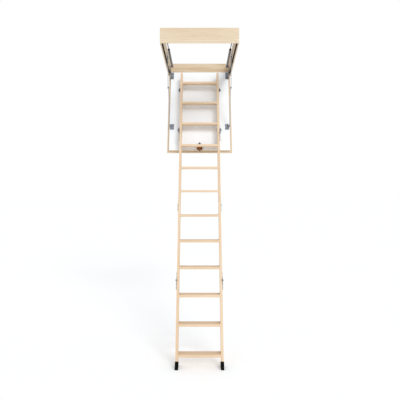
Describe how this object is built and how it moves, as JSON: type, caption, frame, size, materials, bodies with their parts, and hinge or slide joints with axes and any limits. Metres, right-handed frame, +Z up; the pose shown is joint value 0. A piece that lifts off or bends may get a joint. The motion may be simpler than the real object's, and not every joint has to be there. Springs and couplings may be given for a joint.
{
  "type": "folding attic ladder",
  "caption": "Folding timber attic ladder: insulated hatch hung in a ceiling frame by gas springs and stays, carrying a hinged ladder that folds flat on it.",
  "frame": {"origin": "middle of the frame's opening, on the ceiling plane (the frame boards' lower edge)", "axes": "+Z up, +Y towards the hinge side of the hatch, +X to the right of a person facing the treads"},
  "size_m": [0.7, 1.2416, 2.9434],
  "materials": {
    "pine": "sanded",
    "ladder_pine": "sanded and oiled",
    "zinc": "galvanised",
    "black_rubber": "matt",
    "black_steel": "satin",
    "white_board": "satin lacquer",
    "foam": "rough",
    "brass_case": "satin"
  },
  "bodies": {
    "frame": {"frame_side_left": "pine", "frame_side_right": "pine", "frame_front_board": "pine", "frame_back_board": "pine", "frame_seal": "black_rubber", "frame_screws": "zinc", "hinge_brackets": "zinc", "stay_brackets": "zinc", "spring_anchors": "zinc", "strike_plate": "zinc"},
    "hatch": {"hatch_rails": "pine", "hatch_insulation": "foam", "hatch_inner_skin": "white_board", "hatch_outer_panel": "white_board", "hatch_lips": "pine", "hinge_arms": "zinc", "stay_feet": "zinc", "latch_case": "brass_case", "ladder_brackets": "zinc", "hatch_screws": "zinc", "section_1_stringer_left": "ladder_pine", "section_1_stringer_right": "ladder_pine", "tread_1": "ladder_pine", "tread_2": "ladder_pine", "tread_3": "ladder_pine", "section_1_hinge_leaves": "zinc", "section_1_hinge_pins": "zinc"},
    "latch_bolt": {"latch_bolt": "zinc"},
    "section_2": {"section_2_stringer_left": "ladder_pine", "section_2_stringer_right": "ladder_pine", "tread_4": "ladder_pine", "tread_5": "ladder_pine", "tread_6": "ladder_pine", "section_2_hinge_leaves": "zinc", "section_2_hinge_pins": "zinc", "section_2_screws": "zinc"},
    "section_3": {"section_3_stringer_left": "ladder_pine", "section_3_stringer_right": "ladder_pine", "tread_7": "ladder_pine", "tread_8": "ladder_pine", "tread_9": "ladder_pine", "section_3_hinge_leaves": "zinc", "section_3_hinge_pins": "zinc", "section_3_screws": "zinc"},
    "section_4": {"section_4_stringer_left": "ladder_pine", "section_4_stringer_right": "ladder_pine", "tread_10": "ladder_pine", "tread_11": "ladder_pine", "tread_12": "ladder_pine", "section_4_hinge_leaves": "zinc", "section_4_screws": "zinc", "foot_caps": "black_rubber"},
    "upper_stay_left": {"upper_stay_left": "zinc"},
    "lower_stay_left": {"lower_stay_left": "zinc"},
    "gas_rod_left": {"gas_rod_left": "black_steel"},
    "gas_cylinder_left": {"gas_cylinder_left": "zinc"},
    "upper_stay_right": {"upper_stay_right": "zinc"},
    "lower_stay_right": {"lower_stay_right": "zinc"},
    "gas_rod_right": {"gas_rod_right": "black_steel"},
    "gas_cylinder_right": {"gas_cylinder_right": "zinc"}
  },
  "joints": [
    {"name": "hatch_swing", "type": "hinge", "parent": "frame", "child": "hatch", "pos_m": [0, 0.4735, 0.012], "axis": [-1, 0, 0], "range_deg": [0, 50]},
    {"name": "section_2_fold", "type": "hinge", "parent": "hatch", "child": "section_2", "pos_m": [0, 0.06354, -0.70351], "axis": [-1, 0, 0], "range_deg": [0, 180]},
    {"name": "section_3_fold", "type": "hinge", "parent": "section_2", "child": "section_3", "pos_m": [0, -0.12171, -1.43511], "axis": [1, 0, 0], "range_deg": [0, 180]},
    {"name": "section_4_fold", "type": "hinge", "parent": "section_3", "child": "section_4", "pos_m": [0, -0.46422, -2.1076], "axis": [-1, 0, 0], "range_deg": [0, 180]},
    {"name": "bolt_slide", "type": "slide", "parent": "hatch", "child": "latch_bolt", "axis": [0, 0.3518, 0.9361], "range_m": [0, 0.012], "stiffness_N_per_m": 300, "springref_m": -0.004},
    {"name": "upper_stay_left_turn", "type": "hinge", "parent": "frame", "child": "upper_stay_left", "pos_m": [-0.319, 0.008, 0.052], "axis": [-1, 0, 0], "range_deg": [0, 127.55]},
    {"name": "lower_stay_left_turn", "type": "hinge", "parent": "hatch", "child": "lower_stay_left", "pos_m": [-0.3147, 0.18756, -0.61231], "axis": [1, 0, 0], "range_deg": [0, 35.62]},
    {"name": "gas_rod_left_turn", "type": "hinge", "parent": "frame", "child": "gas_rod_left", "pos_m": [-0.297, -0.39, 0.066], "axis": [1, 0, 0], "range_deg": [0, 5.7]},
    {"name": "gas_cylinder_left_slide", "type": "slide", "parent": "gas_rod_left", "child": "gas_cylinder_left", "axis": [0, 0.9999, -0.0118], "range_m": [0, 0.083]},
    {"name": "upper_stay_right_turn", "type": "hinge", "parent": "frame", "child": "upper_stay_right", "pos_m": [0.319, 0.008, 0.052], "axis": [-1, 0, 0], "range_deg": [0, 127.55]},
    {"name": "lower_stay_right_turn", "type": "hinge", "parent": "hatch", "child": "lower_stay_right", "pos_m": [0.3147, 0.18756, -0.61231], "axis": [1, 0, 0], "range_deg": [0, 35.62]},
    {"name": "gas_rod_right_turn", "type": "hinge", "parent": "frame", "child": "gas_rod_right", "pos_m": [0.297, -0.39, 0.066], "axis": [1, 0, 0], "range_deg": [0, 5.7]},
    {"name": "gas_cylinder_right_slide", "type": "slide", "parent": "gas_rod_right", "child": "gas_cylinder_right", "axis": [0, 0.9999, -0.0118], "range_m": [0, 0.083]}
  ],
  "couplings": [
    {"joint": "section_3_fold", "follows": "section_2_fold", "ratio": 1},
    {"joint": "upper_stay_left_turn", "follows": "hatch_swing", "ratio": 2.5507},
    {"joint": "lower_stay_left_turn", "follows": "hatch_swing", "ratio": 0.71215},
    {"joint": "gas_rod_left_turn", "follows": "hatch_swing", "ratio": 0.11389},
    {"joint": "gas_cylinder_left_slide", "follows": "hatch_swing", "m_per_rad": 0.094916},
    {"joint": "upper_stay_right_turn", "follows": "hatch_swing", "ratio": 2.5507},
    {"joint": "lower_stay_right_turn", "follows": "hatch_swing", "ratio": 0.71215},
    {"joint": "gas_rod_right_turn", "follows": "hatch_swing", "ratio": 0.11389},
    {"joint": "gas_cylinder_right_slide", "follows": "hatch_swing", "m_per_rad": 0.094916}
  ]
}
